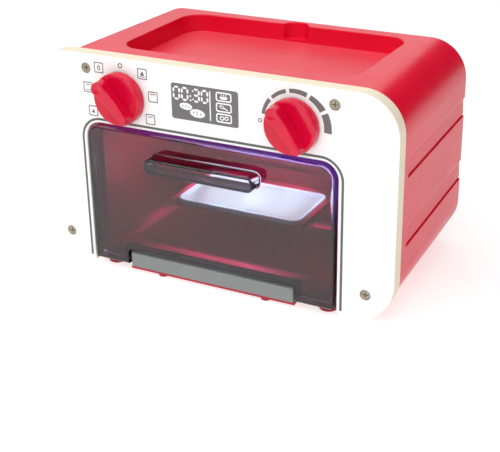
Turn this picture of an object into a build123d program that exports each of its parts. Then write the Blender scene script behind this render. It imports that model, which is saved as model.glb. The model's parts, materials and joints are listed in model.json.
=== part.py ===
from build123d import *
import math
import os

os.makedirs("parts", exist_ok=True)

# ---------------------------------------------------------------------------
# Toy oven.  Millimetres, +Z up, -Y is the front (door side), +X to the right
# when looking at the door.  The origin is the centre of the footprint, on the
# table.  Depths are counted from the front face of the wooden panel and
# heights from the bottom of its legs, then moved to the origin by Y() and Z().
# ---------------------------------------------------------------------------
PANEL_Y = -81.5          # front face of the wooden panel
LEG_Z = 3.0              # bottom of the panel's legs above the table


def Y(depth):
    return PANEL_Y + depth


def Z(height):
    return LEG_Z + height


def front(depth):
    """Sketch plane facing the front (local x = X, local y = Z) at a depth."""
    return Plane(origin=(0, Y(depth), 0), x_dir=(1, 0, 0), z_dir=(0, -1, 0))


def level(height):
    """Horizontal sketch plane at a height, local y = Y."""
    return Plane.XY.offset(Z(height))


# wooden panel
PANEL_HALF = 165.0
PANEL_TOP = 190.8
PANEL_T = 12.5
PANEL_R_TOP = 34.0
PANEL_R_BOTTOM = 37.5
OPEN_HALF = 116.4
OPEN_TOP = 131.7
OPEN_R = 14.5
PANEL_SCREWS = [(-112.4, 178.2), (112.4, 178.2), (-141.0, 24.4), (141.0, 24.4)]

# outer shell
SHELL_FRONT = 12.9
SHELL_BACK = 183.0
SHELL_HALF_FRONT = 164.1
SHELL_HALF_BACK = 156.6
SHELL_BOTTOM = 5.5
SHELL_TOP = 185.85
SHELL_R = 33.3
WALL = 3.0

# recess in the top
REC_HALF_X = 109.0
REC_FRONT = 43.3
REC_BACK = 168.8
REC_R = 20.0
REC_DEPTH = 15.85
NOTCH_R = 12.4
NOTCH_Y = 166.2

# louvre-like strips sunk into the sides: (bottom, top, front end)
STRIPS = [(59.6, 76.2, 29.4), (119.2, 134.6, 27.0)]
STRIP_DEEP = 1.9         # depth under the upper edge
STRIP_SHALLOW = 1.1      # depth at the lower edge
FLARE_W = 2.4            # width of the bevel round the upper and front edges
FLARE_D = 0.7

# oven cavity
CAV_HALF = 108.0
CAV_BOTTOM = 11.0
CAV_TOP = 126.0
CAV_BACK = 140.0
LINER_T = 2.0
FLANGE_T = 3.0

LINER_SCREW_X = 155.6
LINER_SCREW_Z = (140.0, 50.0)

# door and its hinge
DOOR_HALF = 114.4
DOOR_BOTTOM = 5.1
DOOR_TOP = 130.3
DOOR_FACE = -3.4
DOOR_REAR = 7.0
DOOR_WALL = 2.5
DOOR_SKIN = 3.0
DOOR_R = 12.5
PIN_Y = 3.0
PIN_Z = 8.0
PIN_R = 1.5
NOTCH_HALF = 79.6
NOTCH_TOP = 19.5
HANDLE_HALF = 50.3
HANDLE_Z = (100.2, 113.8)
HANDLE_FACE = -17.0

# knobs
KNOB_X = 78.45
KNOB_Z = 157.2
KNOB_R = 22.4
KNOB_BACK = -1.6
KNOB_FRONT = -9.3
FIN_FRONT = -20.0
BOWL_R = 20.0            # bowl in the knob's face
BOWL_DEPTH = 1.8
BOWL_SPHERE = (BOWL_R**2 + BOWL_DEPTH**2) / (2 * BOWL_DEPTH)
MODE_ANGLE = 135.0       # pointer, counter-clockwise from +X seen from the front
TIMER_ANGLE = 127.3
SHAFT_R = 3.0

# feet
FOOT_R = 8.0
FOOT_XY = [(-103.4, 14.8), (103.4, 14.8), (-103.4, 150.0), (103.4, 150.0)]

# inner tray
TRAY_HALF = 60.0
TRAY_Y = (49.0, 113.0)
TRAY_Z = 50.2


def shell_half(depth):
    k = (depth - SHELL_FRONT) / (SHELL_BACK - SHELL_FRONT)
    return SHELL_HALF_FRONT + (SHELL_HALF_BACK - SHELL_HALF_FRONT) * k


def block(x0, x1, d0, d1, h0, h1, mode=Mode.ADD):
    """Box between two x values, two depths and two heights."""
    with Locations(((x0 + x1) / 2, Y((d0 + d1) / 2), Z((h0 + h1) / 2))):
        Box(abs(x1 - x0), abs(d1 - d0), abs(h1 - h0), mode=mode)


def rod_y(x, h, r, d0, d1, mode=Mode.ADD):
    """Cylinder along the depth."""
    with Locations((x, Y((d0 + d1) / 2), Z(h))):
        Cylinder(r, abs(d1 - d0), rotation=(90, 0, 0), mode=mode)


def rod_z(x, d, r, h0, h1, mode=Mode.ADD):
    """Upright cylinder."""
    with Locations((x, Y(d), Z((h0 + h1) / 2))):
        Cylinder(r, abs(h1 - h0), mode=mode)


def rod_x(d, h, r, x0, x1, mode=Mode.ADD):
    """Cylinder along X."""
    with Locations(((x0 + x1) / 2, Y(d), Z(h))):
        Cylinder(r, abs(x1 - x0), rotation=(0, 90, 0), mode=mode)


def save(piece, name):
    piece.part.label = name
    export_step(piece.part, "parts/" + name + ".step")
    print(name, "volume_cm3", round(piece.part.volume / 1000.0, 2))


# ---------------------------------------------------------------------------
# front_panel: an arch of plywood with two legs
# ---------------------------------------------------------------------------
with BuildPart() as front_panel:
    with BuildSketch(front(PANEL_T)) as sk:
        with Locations((0, Z(PANEL_TOP / 2))):
            Rectangle(2 * PANEL_HALF, PANEL_TOP)
        fillet(sk.vertices().group_by(Axis.Y)[-1], PANEL_R_TOP)
        fillet(sk.vertices().group_by(Axis.Y)[0], PANEL_R_BOTTOM)
        with Locations((0, Z(OPEN_TOP / 2 - 10))):
            Rectangle(2 * OPEN_HALF, OPEN_TOP + 20, mode=Mode.SUBTRACT)
        fillet(sk.vertices().filter_by(lambda v: abs(abs(v.X) - OPEN_HALF) < 0.01 and v.Y > Z(100)), OPEN_R)
        fillet(sk.vertices().filter_by(lambda v: abs(abs(v.X) - OPEN_HALF) < 0.01 and v.Y < Z(5)), 1.5)
    extrude(amount=PANEL_T)
    rim = front_panel.faces().sort_by(Axis.Y)[0].edges()
    fillet(rim, 0.7)
    with Locations(*[Location((x, Y(0), Z(z)), (90, 0, 0)) for x, z in PANEL_SCREWS]):
        CounterBoreHole(radius=2.2, counter_bore_radius=4.6, counter_bore_depth=3.2, depth=PANEL_T)
    for sx in (-1, 1):
        with BuildSketch(front(PANEL_T)):
            with Locations((sx * KNOB_X, Z(KNOB_Z))):
                Circle(4.7)
        extrude(amount=PANEL_T, mode=Mode.SUBTRACT)
        with BuildSketch(front(4.0)):
            with Locations((sx * KNOB_X, Z(KNOB_Z))):
                Circle(8.6)
        extrude(amount=4.0, mode=Mode.SUBTRACT)
save(front_panel, "front_panel")

# ---------------------------------------------------------------------------
# outer_shell: tapering rounded box, open at the front, closed at the back
# ---------------------------------------------------------------------------
MID_Z = Z((SHELL_BOTTOM + SHELL_TOP) / 2)
SHELL_H = SHELL_TOP - SHELL_BOTTOM
BATT_X, BATT_Z = -62.0, 66.0        # battery hatch centre
BATT_W, BATT_H = 60.0, 50.0
SPK_X, SPK_Z = 88.0, 96.0           # loudspeaker centre
SW_X, SW_Z = 12.0, 52.0             # power switch centre

# (x, height, depth of the tip) of the bosses on the back wall
BACK_BOSSES = [
    (BATT_X - 38, BATT_Z, 166.0),
    (BATT_X + 38, BATT_Z, 166.0),
    (SPK_X - 26, SPK_Z, 176.0),
    (SPK_X + 26, SPK_Z, 176.0),
    (SW_X - 15, SW_Z, 176.5),
    (SW_X + 15, SW_Z, 176.5),
]

with BuildPart() as outer_shell:
    with BuildSketch(front(SHELL_FRONT)):
        with Locations((0, MID_Z)):
            RectangleRounded(2 * SHELL_HALF_FRONT, SHELL_H, SHELL_R)
    with BuildSketch(front(SHELL_BACK)):
        with Locations((0, MID_Z)):
            RectangleRounded(2 * SHELL_HALF_BACK, SHELL_H, SHELL_R)
    loft(ruled=True)
    fillet(outer_shell.faces().sort_by(Axis.Y)[-1].edges(), 2.2)
    with BuildSketch(front(SHELL_FRONT - 0.01)):
        with Locations((0, MID_Z)):
            RectangleRounded(2 * (SHELL_HALF_FRONT - WALL), SHELL_H - 2 * WALL, SHELL_R - WALL)
    with BuildSketch(front(SHELL_BACK - WALL)):
        with Locations((0, MID_Z)):
            RectangleRounded(2 * (shell_half(SHELL_BACK - WALL) - WALL), SHELL_H - 2 * WALL, SHELL_R - WALL)
    loft(ruled=True, mode=Mode.SUBTRACT)

    # pan of the top recess, with thicker wall round the finger notch
    with BuildSketch(level(SHELL_TOP - REC_DEPTH - 2.5)):
        with Locations((0, Y((REC_FRONT + REC_BACK) / 2))):
            RectangleRounded(2 * REC_HALF_X + 5, REC_BACK - REC_FRONT + 5, REC_R + 2.5)
        with Locations((0, Y(NOTCH_Y))):
            Circle(NOTCH_R + 2.4)
    extrude(amount=REC_DEPTH + 1.5)
    with BuildSketch(level(SHELL_TOP)):
        with Locations((0, Y((REC_FRONT + REC_BACK) / 2))):
            RectangleRounded(2 * REC_HALF_X, REC_BACK - REC_FRONT, REC_R)
    extrude(amount=-REC_DEPTH, taper=3, mode=Mode.SUBTRACT)
    floor_edges = (
        outer_shell.faces()
        .filter_by(lambda f: abs(f.center().Z - Z(SHELL_TOP - REC_DEPTH)) < 0.01 and f.normal_at().Z > 0.9)
        .sort_by(SortBy.AREA)[-1]
        .outer_wire()
        .edges()
    )
    fillet(floor_edges, 0.6)
    with BuildSketch(level(SHELL_TOP + 1)):
        with Locations((0, Y(NOTCH_Y))):
            Circle(NOTCH_R)
        with Locations((0, Y(NOTCH_Y - 12.5))):
            Rectangle(60, 25, mode=Mode.SUBTRACT)
    extrude(amount=-14.4, mode=Mode.SUBTRACT)
    notch_corners = outer_shell.edges().filter_by(
        lambda e: 9 < abs(e.center().X) < NOTCH_R + 1
        and 165 < e.center().Y - PANEL_Y < 170
        and e.bounding_box().size.Z > 8
    )
    fillet(notch_corners, 2.0)
    rim_edges = outer_shell.edges().filter_by(
        lambda e: abs(e.center().Z - Z(SHELL_TOP)) < 0.01
        and abs(e.center().X) < REC_HALF_X + 1
        and REC_FRONT - 1 < e.center().Y - PANEL_Y < 178
        and e.bounding_box().size.Z < 0.01
        and e.bounding_box().size.X < 2 * REC_HALF_X
    )
    fillet(rim_edges, 0.9)

    # sunk strips along both sides: wedge-shaped, with a wide bevel round the
    # upper and front edges and a narrow groove at the lower edge
    for sx in (-1, 1):
        dx = SHELL_HALF_BACK - SHELL_HALF_FRONT
        dy = SHELL_BACK - SHELL_FRONT
        ln = math.hypot(dx, dy)
        side = Plane(
            origin=(sx * SHELL_HALF_FRONT, Y(SHELL_FRONT), 0),
            x_dir=(sx * dx / ln, dy / ln, 0),
            z_dir=(sx * dy / ln, -dx / ln, 0),
        )
        up = 1.0 if side.from_local_coords((0, 1, 0)).Z > 0 else -1.0

        def outline(low, high, u0):
            return [(u0, up * low), (u0 + 200, up * low), (u0 + 200, up * high), (u0, up * high)]

        def upper_front(v):
            return v.X - up * v.Y

        for low, high, ahead in STRIPS:
            u0 = ahead - SHELL_FRONT
            low, high = Z(low), Z(high)
            # bevel
            grow = FLARE_W / FLARE_D * (FLARE_D + 0.35)
            with BuildSketch(side.offset(-FLARE_D)) as strip:
                with BuildLine():
                    Polyline(*outline(low, high, u0), close=True)
                make_face()
                fillet(strip.vertices().sort_by(upper_front)[0], 3.0)
            with BuildSketch(side.offset(0.35)) as strip:
                with BuildLine():
                    Polyline(*outline(low - 0.5, high + grow, u0 - grow), close=True)
                make_face()
                fillet(strip.vertices().sort_by(upper_front)[0], 6.0)
            loft(ruled=True, mode=Mode.SUBTRACT)
            # wedge: its floor leans out towards the lower edge
            lean = math.atan2(STRIP_DEEP - STRIP_SHALLOW, high - low)
            tilted = Plane(
                origin=side.from_local_coords((0, up * low, -STRIP_SHALLOW)),
                x_dir=side.x_dir,
                z_dir=side.z_dir * math.cos(lean) + Vector(0, 0, math.sin(lean)),
            )
            with BuildSketch(tilted) as strip:
                with BuildLine():
                    Polyline(*outline(0, (high - low) / math.cos(lean), u0), close=True)
                make_face()
                fillet(strip.vertices().sort_by(upper_front)[0], 3.0)
            extrude(amount=STRIP_DEEP + 0.8, mode=Mode.SUBTRACT)
            # groove
            with BuildSketch(side.offset(0.6)):
                with BuildLine():
                    Polyline(*outline(low, low + 1.3, u0), close=True)
                make_face()
            extrude(amount=-(STRIP_SHALLOW + 0.6 + 0.9), mode=Mode.SUBTRACT)

    # bosses that take the liner's screws
    for sx in (-1, 1):
        for bz in LINER_SCREW_Z:
            rod_y(sx * LINER_SCREW_X, bz, 4.0, 15.5, 36)
            block(sx * LINER_SCREW_X, sx * 161.8, 15.5, 36, bz - 4, bz + 4)
            rod_y(sx * LINER_SCREW_X, bz, 1.45, 15.5, 30, mode=Mode.SUBTRACT)

    # bosses that take the panel's screws
    for px, pz in PANEL_SCREWS:
        top = pz > 100
        rod_y(px, pz, 4.4, 15.5, 40)
        if top:
            block(px - 4.4, px + 4.4, 15.5, 40, pz, 183.5)
        else:
            block(px - 1.5, px + 1.5, 15.5, 40, 9.5, pz)
        rod_y(px, pz, 1.95, 15.5, 38, mode=Mode.SUBTRACT)

    # battery hatch: recessed ledge with two screw tabs, and the opening
    with BuildSketch(front(SHELL_BACK)):
        with Locations((BATT_X, Z(BATT_Z))):
            RectangleRounded(BATT_W + 8.4, BATT_H + 8.4, 3.2)
            RectangleRounded(14.4, BATT_H + 28.4, 3.2)
    extrude(amount=2.0, mode=Mode.SUBTRACT)
    for hz in (BATT_Z + 33.5, BATT_Z - 33.5):
        rod_y(BATT_X, hz, 3.8, 170, SHELL_BACK - 2.0)
        rod_y(BATT_X, hz, 1.35, 171.5, SHELL_BACK, mode=Mode.SUBTRACT)
    block(BATT_X - BATT_W / 2, BATT_X + BATT_W / 2, 175, 184, BATT_Z - BATT_H / 2, BATT_Z + BATT_H / 2, mode=Mode.SUBTRACT)

    # bosses inside the back wall for battery box, loudspeaker and switch
    for bx, bz, tip in BACK_BOSSES:
        rod_y(bx, bz, 3.4, tip, SHELL_BACK - 2.0)
        rod_y(bx, bz, 1.1, tip, 178.5, mode=Mode.SUBTRACT)

    # loudspeaker grille and switch slot in the back wall
    with BuildSketch(front(SHELL_BACK)):
        with Locations((SPK_X, Z(SPK_Z))):
            Circle(1.6)
            with PolarLocations(6.0, 6):
                Circle(1.6)
            with PolarLocations(12.0, 12):
                Circle(1.6)
        with Locations((SW_X, Z(SW_Z))):
            RectangleRounded(11.0, 5.4, 0.8)
    extrude(amount=8, mode=Mode.SUBTRACT)
    with BuildSketch(front(SHELL_BACK)):
        with Locations((SW_X, Z(SW_Z))):
            RectangleRounded(20.0, 11.0, 2.0)
    extrude(amount=1.2, mode=Mode.SUBTRACT)

    # pilot holes for the base screws
    with BuildSketch(level(SHELL_BOTTOM - 1)):
        with Locations(*[(x, Y(y)) for x, y in ((-96, 60), (96, 60), (-96, 118), (96, 118), (-30, 40), (30, 40))]):
            Circle(1.5)
    extrude(amount=WALL + 2, mode=Mode.SUBTRACT)
save(outer_shell, "outer_shell")

# ---------------------------------------------------------------------------
# cavity_liner: front frame behind the panel with the oven chamber in it
# ---------------------------------------------------------------------------
RACK_SCREWS = [(-50.0, 53.0), (50.0, 53.0)]
BOARD_SCREWS = [(-38.0, 66.0), (38.0, 66.0), (-38.0, 124.0), (38.0, 124.0)]
LAMP_SCREWS = [(-20.0, 75.0), (20.0, 75.0)]
with BuildPart() as cavity_liner:
    with BuildSketch(front(12.5 + FLANGE_T)):
        with Locations((0, Z((9.0 + 182.4) / 2))):
            RectangleRounded(2 * 160.5, 182.4 - 9.0, 29.6)
    extrude(amount=FLANGE_T)
    with BuildSketch(front(CAV_BACK + LINER_T)):
        with Locations((0, Z((CAV_BOTTOM + CAV_TOP) / 2))):
            RectangleRounded(2 * (CAV_HALF + LINER_T), CAV_TOP - CAV_BOTTOM + 2 * LINER_T, 9.0)
    extrude(amount=CAV_BACK + LINER_T - 12.5 - FLANGE_T)
    with BuildSketch(front(CAV_BACK)):
        with Locations((0, Z((CAV_BOTTOM + CAV_TOP) / 2))):
            RectangleRounded(2 * CAV_HALF, CAV_TOP - CAV_BOTTOM, 7.0)
    extrude(amount=CAV_BACK - 12.5, mode=Mode.SUBTRACT)
    back_edges = cavity_liner.faces().filter_by(
        lambda f: abs(f.center().Y - Y(CAV_BACK)) < 0.01 and f.normal_at().Y < -0.9
    )[0].outer_wire().edges()
    fillet(back_edges, 5.0)
    mouth_edges = cavity_liner.faces().sort_by(Axis.Y)[0].inner_wires()[0].edges()
    fillet(mouth_edges, 1.0)
    # stop pads for the closed door
    for sx in (-1, 1):
        block(sx * 96, sx * 104, DOOR_REAR + 0.35, 12.5, 127.9, 130.2)
    # standoffs for the circuit board and the lamp board
    for bx, by in BOARD_SCREWS:
        rod_z(bx, by, 3.4, CAV_TOP + 1.0, 148.0)
        rod_z(bx, by, 1.2, CAV_TOP + 4.0, 148.0, mode=Mode.SUBTRACT)
    for bx, by in LAMP_SCREWS:
        rod_z(bx, by, 3.0, CAV_TOP + 1.0, 134.0)
        rod_z(bx, by, 1.0, CAV_TOP + 3.0, 134.0, mode=Mode.SUBTRACT)
    # lamp window
    block(-14, 14, 63, 87, CAV_TOP - 2, CAV_TOP + 4, mode=Mode.SUBTRACT)
    # clearance for shafts and screws
    for sx in (-1, 1):
        rod_y(sx * KNOB_X, KNOB_Z, 4.7, 12, 16, mode=Mode.SUBTRACT)
        for bz in LINER_SCREW_Z:
            rod_y(sx * LINER_SCREW_X, bz, 1.7, 12, 16, mode=Mode.SUBTRACT)
            rod_y(sx * LINER_SCREW_X, bz, 3.3, 12, 14.1, mode=Mode.SUBTRACT)
    for px, pz in PANEL_SCREWS:
        rod_y(px, pz, 2.2, 12, 16, mode=Mode.SUBTRACT)
    for rx, rz in RACK_SCREWS:
        rod_y(rx, rz, 1.7, CAV_BACK - 1, CAV_BACK + 3, mode=Mode.SUBTRACT)
save(cavity_liner, "cavity_liner")

# ---------------------------------------------------------------------------
# base_plate: floor plate with the hinge block and two small feet
# ---------------------------------------------------------------------------
BASE_SCREWS = [(-96, 60), (96, 60), (-96, 118), (96, 118), (-30, 40), (30, 40)]
COVER_SCREWS = [(-24.0, 8.4), (24.0, 8.4)]
with BuildPart() as base_plate:
    with BuildSketch(level(0.5)):
        with Locations((0, Y((9.5 + 168) / 2))):
            RectangleRounded(224, 168 - 9.5, 3.0)
    extrude(amount=5.0)
    # lightening pockets, closed by the shell's floor
    with BuildSketch(level(3.0)):
        for gx in (-84, -56, -28, 0, 28, 56, 84):
            for gy in (50.0, 89.0, 129.0, 153.0):
                hit = [1 for sx, sy in BASE_SCREWS + FOOT_XY if abs(sx - gx) < 17 and abs(sy - gy) < 20]
                if not hit:
                    with Locations((gx, Y(gy))):
                        Rectangle(24, 18)
    extrude(amount=3.0, mode=Mode.SUBTRACT)
    # lip and hinge block
    block(-78.9, 78.9, -0.2, 10, 0.5, 2.5)
    for sx in (-1, 1):
        rod_z(sx * 78.2, 0.9, 1.1, 0.5, 2.5)
    with BuildSketch(Plane(origin=(-78.0, 0, 0), x_dir=(0, 1, 0), z_dir=(1, 0, 0))):
        with BuildLine():
            Polyline(
                (Y(1.1), Z(2.0)),
                (Y(1.1), Z(14.4)),
                (Y(3.1), Z(16.4)),
                (Y(12.2), Z(16.4)),
                (Y(12.2), Z(2.0)),
                close=True,
            )
        make_face()
    extrude(amount=156.0)
    # pockets open to the back between the ribs
    for gx in (-66, -52, -38, -10, 10, 38, 52, 66):
        block(gx - 5, gx + 5, 5.4, 12.4, 5.6, 14.4, mode=Mode.SUBTRACT)
    # grooves that hold the two hinge pins, open to the front
    for sx in (-1, 1):
        rod_x(PIN_Y, PIN_Z, PIN_R + 0.02, sx * 62, sx * 79, mode=Mode.SUBTRACT)
        block(sx * 62, sx * 79, 0, PIN_Y, PIN_Z - PIN_R - 0.02, PIN_Z + PIN_R + 0.02, mode=Mode.SUBTRACT)
    for cx, cy in COVER_SCREWS:
        rod_z(cx, cy, 3.3, 5.0, 16.5, mode=Mode.SUBTRACT)
        rod_z(cx, cy, 1.5, 0, 6, mode=Mode.SUBTRACT)
        rod_z(cx, cy, 2.8, 0.4, 2.6, mode=Mode.SUBTRACT)
    # small feet under the hinge block
    for sx in (-1, 1):
        rod_z(sx * 50.0, 6.2, 4.5, -LEG_Z, 1.0)
        rod_z(sx * 50.0, 160.0, 4.5, -LEG_Z, 1.0)
    fillet(base_plate.faces().filter_by(lambda f: abs(f.center().Z) < 0.01 and f.normal_at().Z < -0.9).edges(), 0.6)
    for bx, by in BASE_SCREWS:
        rod_z(bx, by, 1.7, 0, 6, mode=Mode.SUBTRACT)
        rod_z(bx, by, 3.2, 0.4, 2.7, mode=Mode.SUBTRACT)
    for fx, fy in FOOT_XY:
        rod_z(fx, fy, 2.0, 0.4, 3.2, mode=Mode.SUBTRACT)
save(base_plate, "base_plate")

# feet: soft round pads with a plug pressed into the base
with BuildPart() as feet:
    for fx, fy in FOOT_XY:
        rod_z(fx, fy, FOOT_R, -LEG_Z, 0.5)
        rod_z(fx, fy, 1.95, 0.2, 3.0)
    fillet(feet.faces().filter_by(lambda f: abs(f.center().Z) < 0.01).edges(), 0.9)
save(feet, "feet")

# hinge_cover: grey cap over the hinge block
with BuildPart() as hinge_cover:
    with BuildSketch(Plane(origin=(-78.15, 0, 0), x_dir=(0, 1, 0), z_dir=(1, 0, 0))):
        with BuildLine():
            Polyline(
                (Y(-0.4), Z(2.65)),
                (Y(-0.4), Z(15.2)),
                (Y(2.4), Z(18.0)),
                (Y(12.2), Z(18.0)),
                (Y(12.2), Z(16.5)),
                (Y(2.9), Z(16.5)),
                (Y(1.0), Z(14.6)),
                (Y(1.0), Z(2.65)),
                close=True,
            )
        make_face()
    extrude(amount=2 * 78.15)
    fillet(
        hinge_cover.edges().filter_by(Axis.X).filter_by(
            lambda e: (abs(e.center().Z - Z(15.2)) < 0.05 and e.center().Y < Y(0))
            or (abs(e.center().Z - Z(18.0)) < 0.05 and e.center().Y < Y(5))
        ),
        1.2,
    )
    for cx, cy in COVER_SCREWS:
        rod_z(cx, cy, 3.0, 5.2, 17.0)
        rod_z(cx, cy, 1.2, 5.2, 14.5, mode=Mode.SUBTRACT)
save(hinge_cover, "hinge_cover")

with BuildPart() as hinge_pins:
    for sx in (-1, 1):
        rod_x(PIN_Y, PIN_Z, PIN_R, sx * 62.3, sx * 83.2)
save(hinge_pins, "hinge_pins")


def screw_heads_up(spots, head_r, head_h, shank_r, shank_l, h_head):
    """Screws standing on end with their heads at the bottom."""
    for x, d in spots:
        rod_z(x, d, head_r, h_head, h_head + head_h)
        rod_z(x, d, shank_r, h_head + head_h - 0.2, h_head + head_h + shank_l)
        block(x - head_r * 0.62, x + head_r * 0.62, d - 0.4, d + 0.4, h_head - 0.1, h_head + head_h * 0.55, mode=Mode.SUBTRACT)
        block(x - 0.4, x + 0.4, d - head_r * 0.62, d + head_r * 0.62, h_head - 0.1, h_head + head_h * 0.55, mode=Mode.SUBTRACT)


def screw_down(spots, head_r, head_h, shank_r, shank_l, h_seat):
    """Screws with the head on top of a seat, pointing down."""
    for x, d in spots:
        rod_z(x, d, head_r, h_seat, h_seat + head_h)
        rod_z(x, d, shank_r, h_seat - shank_l, h_seat + 0.2)
        block(x - head_r * 0.62, x + head_r * 0.62, d - 0.3, d + 0.3, h_seat + head_h * 0.5, h_seat + head_h + 0.1, mode=Mode.SUBTRACT)
        block(x - 0.3, x + 0.3, d - head_r * 0.62, d + head_r * 0.62, h_seat + head_h * 0.5, h_seat + head_h + 0.1, mode=Mode.SUBTRACT)


def screw_y(spots, head_r, head_h, shank_r, shank_l, seat, away=-1):
    """Screws along the depth; away=-1 puts the head in front of the seat."""
    for x, h in spots:
        rod_y(x, h, head_r, seat, seat + away * head_h)
        rod_y(x, h, shank_r, seat + away * 0.2, seat - away * shank_l)
        tip = seat + away * (head_h + 0.1)
        mid = seat + away * head_h * 0.45
        block(x - head_r * 0.62, x + head_r * 0.62, mid, tip, h - 0.36, h + 0.36, mode=Mode.SUBTRACT)
        block(x - 0.36, x + 0.36, mid, tip, h - head_r * 0.62, h + head_r * 0.62, mode=Mode.SUBTRACT)


with BuildPart() as panel_screws:
    screw_y(PANEL_SCREWS, 3.9, 2.4, 1.9, 32, 3.2)
save(panel_screws, "panel_screws")

with BuildPart() as liner_screws:
    screw_y([(sx * LINER_SCREW_X, bz) for sx in (-1, 1) for bz in LINER_SCREW_Z], 3.0, 1.5, 1.4, 14, 14.1)
save(liner_screws, "liner_screws")

with BuildPart() as base_screws:
    screw_heads_up(BASE_SCREWS, 2.9, 1.8, 1.4, 5.2, 0.9)
save(base_screws, "base_screws")

with BuildPart() as hinge_cover_screws:
    screw_heads_up(COVER_SCREWS, 2.5, 1.6, 1.15, 10, 1.0)
save(hinge_cover_screws, "hinge_cover_screws")

# ---------------------------------------------------------------------------
# door: tinted pan with side walls, hinge ears and a hollow handle
# ---------------------------------------------------------------------------
with BuildPart() as door:
    with BuildSketch(front(DOOR_REAR)) as sk:
        with Locations((0, Z((DOOR_BOTTOM + DOOR_TOP) / 2))):
            Rectangle(2 * DOOR_HALF, DOOR_TOP - DOOR_BOTTOM)
        fillet(sk.vertices().group_by(Axis.Y)[-1], DOOR_R)
        with Locations((0, Z(NOTCH_TOP / 2))):
            Rectangle(2 * NOTCH_HALF, NOTCH_TOP, mode=Mode.SUBTRACT)
        fillet(sk.vertices().filter_by(lambda v: abs(abs(v.X) - NOTCH_HALF) < 0.01 and v.Y > Z(15)), 3.0)
    extrude(amount=DOOR_REAR - DOOR_FACE)
    rim = door.faces().sort_by(Axis.Y)[0].outer_wire().edges()
    outer = rim.filter_by(lambda e: abs(e.center().X) > 84 or e.center().Z > Z(30))
    fillet(outer, 2.8)
    notch_rim = door.faces().sort_by(Axis.Y)[0].outer_wire().edges().filter_by(
        lambda e: abs(e.center().X) < NOTCH_HALF + 0.1 and e.center().Z < Z(NOTCH_TOP + 0.1)
    )
    fillet(notch_rim, 0.9)
    with BuildSketch(front(DOOR_REAR)) as sk2:
        with Locations((0, Z((DOOR_BOTTOM + DOOR_TOP) / 2))):
            Rectangle(2 * (DOOR_HALF - DOOR_WALL), DOOR_TOP - DOOR_BOTTOM - 2 * DOOR_WALL)
        fillet(sk2.vertices().group_by(Axis.Y)[-1], DOOR_R - DOOR_WALL)
        with Locations((0, Z(10))):
            Rectangle(2 * (NOTCH_HALF + 3.8), 2 * (NOTCH_TOP + 2.2 - 10), mode=Mode.SUBTRACT)
    extrude(amount=DOOR_REAR - DOOR_FACE - DOOR_SKIN, mode=Mode.SUBTRACT)
    # handle
    HANDLE_MID = Z((HANDLE_Z[0] + HANDLE_Z[1]) / 2)
    with BuildSketch(front(DOOR_FACE + 1.0)):
        with Locations((0, HANDLE_MID)):
            RectangleRounded(2 * HANDLE_HALF, HANDLE_Z[1] - HANDLE_Z[0], 5.4)
    extrude(amount=DOOR_FACE + 1.0 - HANDLE_FACE, taper=1.0)
    fillet(door.faces().sort_by(Axis.Y)[0].outer_wire().edges(), 1.6)
    base_edges = door.edges().filter_by(
        lambda e: abs(e.center().Y - Y(DOOR_FACE)) < 0.01
        and abs(e.center().X) < HANDLE_HALF + 1
        and Z(97) < e.center().Z < Z(117)
    )
    fillet(base_edges, 1.2)
    with BuildSketch(front(DOOR_FACE + DOOR_SKIN)):
        with Locations((0, HANDLE_MID)):
            RectangleRounded(2 * HANDLE_HALF - 4.6, HANDLE_Z[1] - HANDLE_Z[0] - 4.6, 3.2)
    extrude(amount=DOOR_FACE + DOOR_SKIN - HANDLE_FACE - 2.4, taper=1.0, mode=Mode.SUBTRACT)
    # pin holes in the ears
    for sx in (-1, 1):
        rod_x(PIN_Y, PIN_Z, PIN_R + 0.06, sx * 79, sx * 84, mode=Mode.SUBTRACT)
save(door, "door")

# ---------------------------------------------------------------------------
# knobs: dished disc with a tapering grip across it
# ---------------------------------------------------------------------------


def make_knob(cx, angle):
    a = math.radians(angle)

    def facing(depth):
        return Plane(origin=(cx, Y(depth), Z(KNOB_Z)), x_dir=(math.cos(a), 0, math.sin(a)), z_dir=(0, -1, 0))

    with BuildPart() as knob:
        with BuildSketch(facing(KNOB_BACK)):
            Circle(KNOB_R)
        extrude(amount=KNOB_BACK - KNOB_FRONT, taper=2.5)
        fillet(knob.faces().sort_by(Axis.Y)[0].edges(), 1.9)
        # bowl-shaped front face
        with Locations(facing(KNOB_FRONT - (BOWL_SPHERE - BOWL_DEPTH))):
            Sphere(BOWL_SPHERE, mode=Mode.SUBTRACT)
        # grip
        with BuildSketch(facing(KNOB_FRONT + 2.4)):
            with Locations((15.5, 0)):
                Circle(6.2)
            with Locations((-17.0, 0)):
                Circle(4.2)
            make_hull()
        extrude(amount=KNOB_FRONT + 2.4 - FIN_FRONT, taper=2.5)
        # saddle along the grip
        with Locations(facing(FIN_FRONT - 69.0) * Location((0, 0, 0), (90, 0, 0))):
            Cylinder(70.2, 30, mode=Mode.SUBTRACT)
        top = knob.edges().filter_by(lambda e: e.center().Y < Y(FIN_FRONT + 3.0))
        fillet(top, 1.1)
        # pointer dimple
        with Locations(facing(FIN_FRONT - 9.6) * Location((15.9, 0, 0))):
            Sphere(10.5, mode=Mode.SUBTRACT)
        # hollow back with a boss round the bore
        with BuildSketch(facing(KNOB_BACK)):
            Circle(KNOB_R - 2.4)
            Circle(6.2, mode=Mode.SUBTRACT)
        extrude(amount=4.2, mode=Mode.SUBTRACT)
        for k in range(4):
            with Locations(facing(KNOB_BACK - 2.7) * Location((0, 0, 0), (0, 0, 45 + 90 * k)) * Location((13, 0, 0))):
                Box(15.5, 1.4, 5.2)
        with BuildSketch(facing(KNOB_BACK)):
            Circle(SHAFT_R + 0.04)
        extrude(amount=11.2, mode=Mode.SUBTRACT)
        with BuildSketch(facing(KNOB_BACK)):
            with Locations((4.7, 0)):
                Rectangle(5.0, 7.0)
            Circle(SHAFT_R + 0.5, mode=Mode.INTERSECT)
        extrude(amount=11.2)
    return knob


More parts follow.
